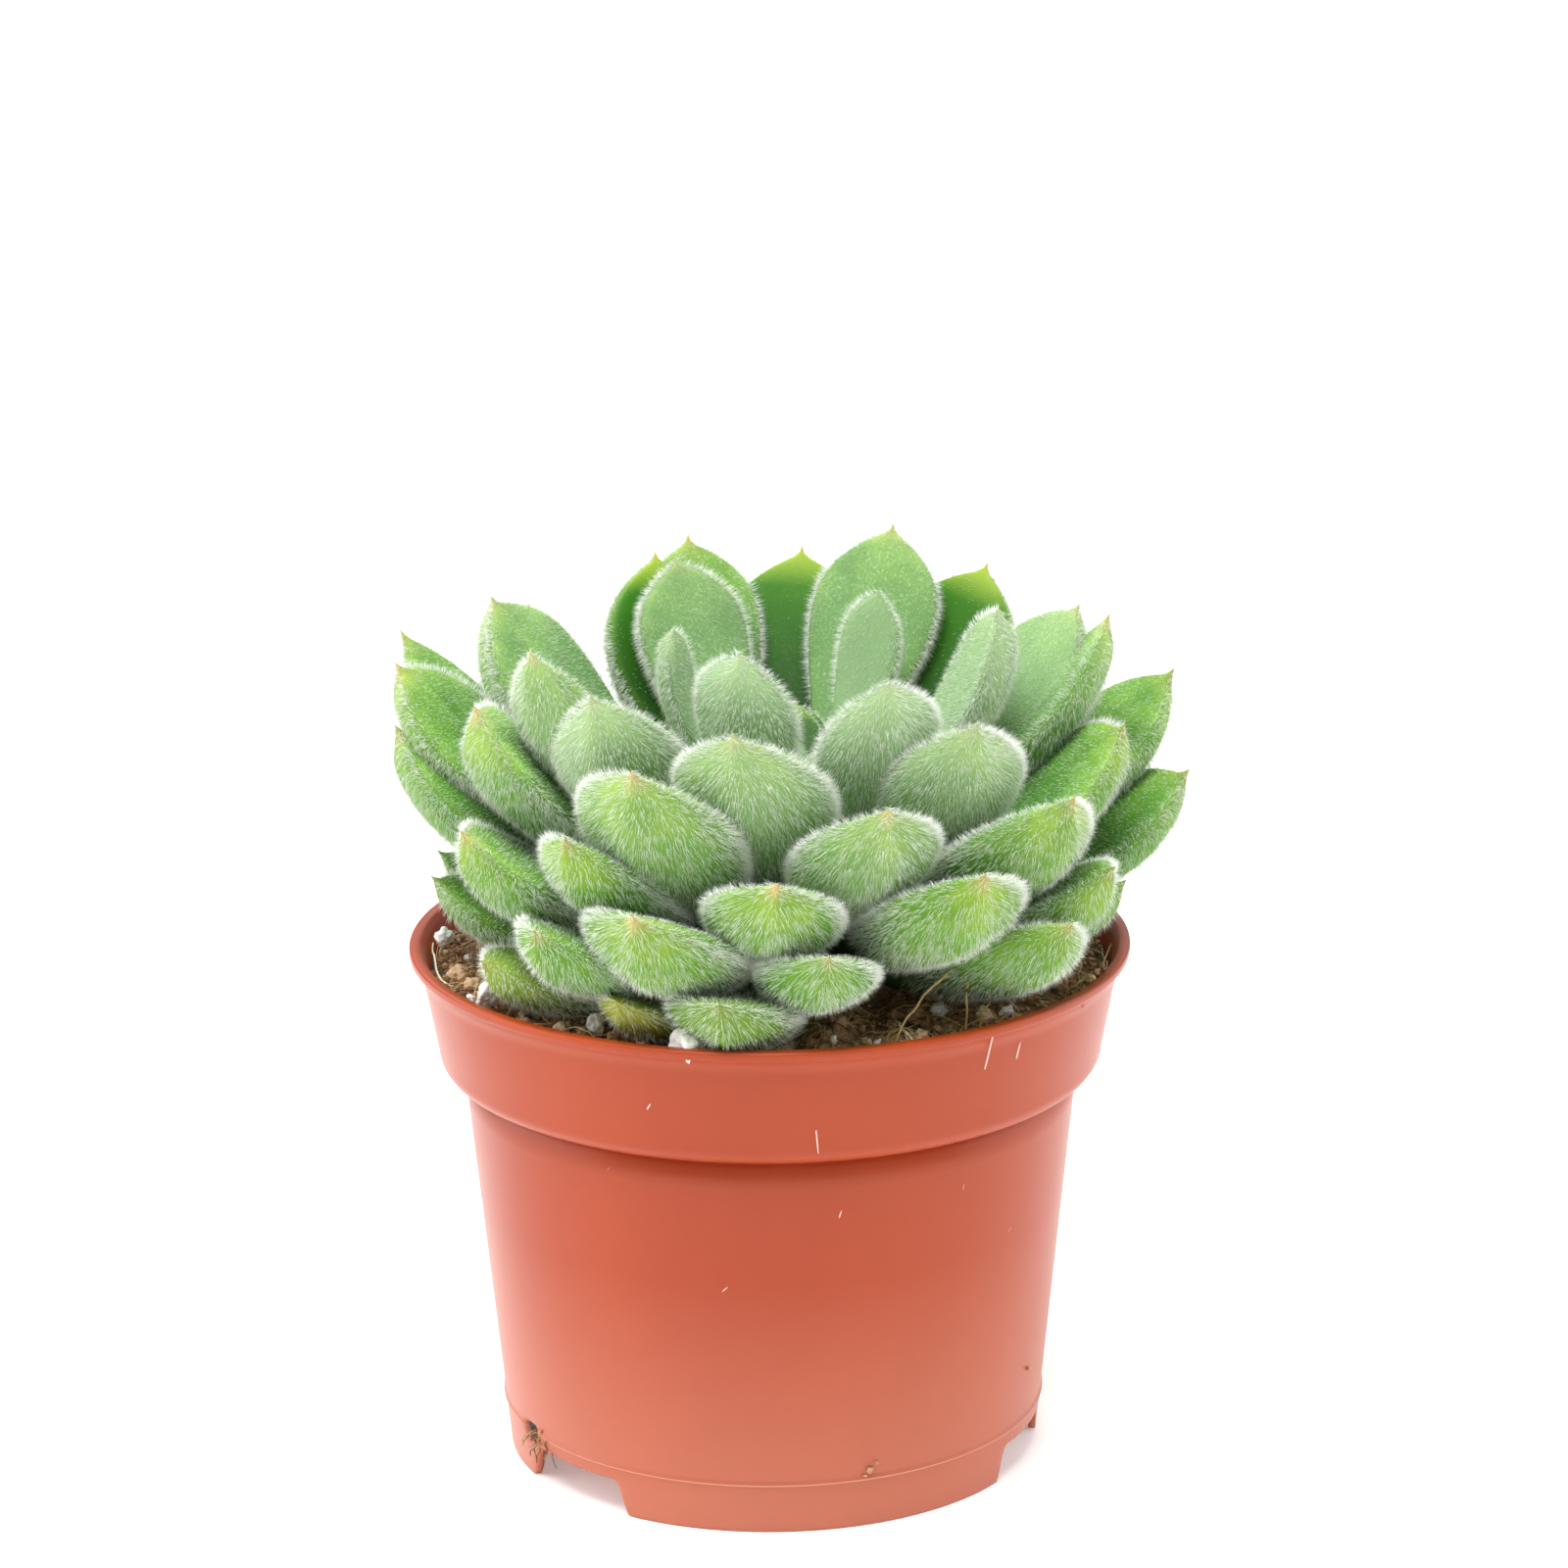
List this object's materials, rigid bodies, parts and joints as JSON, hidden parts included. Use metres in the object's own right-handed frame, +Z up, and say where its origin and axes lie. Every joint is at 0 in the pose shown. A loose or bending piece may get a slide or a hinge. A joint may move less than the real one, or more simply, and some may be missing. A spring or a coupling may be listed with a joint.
{
  "type": "potted succulent",
  "caption": "Rosette succulent with fleshy, pointed, white-haired leaves growing out of dark soil in a tapered terracotta-coloured plastic nursery pot.",
  "frame": {"origin": "middle of the bounding box of pot and leaves together, at the bottom of the pot's foot ring", "axes": "+Z up along the pot's own axis; -Y is the front, the side the rosette leans towards and the foot ring's notches are turned for; +X is to the right seen from the front"},
  "size_m": [0.1318, 0.1264, 0.1513],
  "materials": {
    "pot_plastic": "semi-gloss injection-moulded polypropylene, terracotta colour",
    "potting_soil": "moist peat and coir fibre with perlite, fully matte",
    "stem_skin": "soft green-brown plant skin, matte",
    "leaf_skin": "fleshy green leaf under short dense white hair, soft sheen"
  },
  "bodies": {
    "root": {"pot": "pot_plastic", "soil": "potting_soil", "stem": "stem_skin", "leaf_01": "leaf_skin", "leaf_02": "leaf_skin", "leaf_03": "leaf_skin", "leaf_04": "leaf_skin", "leaf_05": "leaf_skin", "leaf_06": "leaf_skin", "leaf_07": "leaf_skin", "leaf_08": "leaf_skin", "leaf_09": "leaf_skin", "leaf_10": "leaf_skin", "leaf_11": "leaf_skin", "leaf_12": "leaf_skin", "leaf_13": "leaf_skin", "leaf_14": "leaf_skin", "leaf_15": "leaf_skin", "leaf_16": "leaf_skin", "leaf_17": "leaf_skin", "leaf_18": "leaf_skin", "leaf_19": "leaf_skin", "leaf_20": "leaf_skin", "leaf_21": "leaf_skin", "leaf_22": "leaf_skin", "leaf_23": "leaf_skin", "leaf_24": "leaf_skin", "leaf_25": "leaf_skin", "leaf_26": "leaf_skin", "leaf_27": "leaf_skin", "leaf_28": "leaf_skin", "leaf_29": "leaf_skin", "leaf_30": "leaf_skin", "leaf_31": "leaf_skin", "leaf_32": "leaf_skin", "leaf_33": "leaf_skin", "leaf_34": "leaf_skin", "leaf_35": "leaf_skin", "leaf_36": "leaf_skin", "leaf_37": "leaf_skin", "leaf_38": "leaf_skin", "leaf_39": "leaf_skin", "leaf_40": "leaf_skin", "leaf_41": "leaf_skin", "leaf_42": "leaf_skin", "leaf_43": "leaf_skin", "leaf_44": "leaf_skin", "leaf_45": "leaf_skin", "leaf_46": "leaf_skin", "leaf_47": "leaf_skin", "leaf_48": "leaf_skin", "leaf_49": "leaf_skin", "leaf_50": "leaf_skin", "leaf_51": "leaf_skin", "leaf_52": "leaf_skin", "leaf_53": "leaf_skin", "leaf_54": "leaf_skin", "leaf_55": "leaf_skin", "leaf_56": "leaf_skin", "leaf_57": "leaf_skin"}
  },
  "joints": []
}
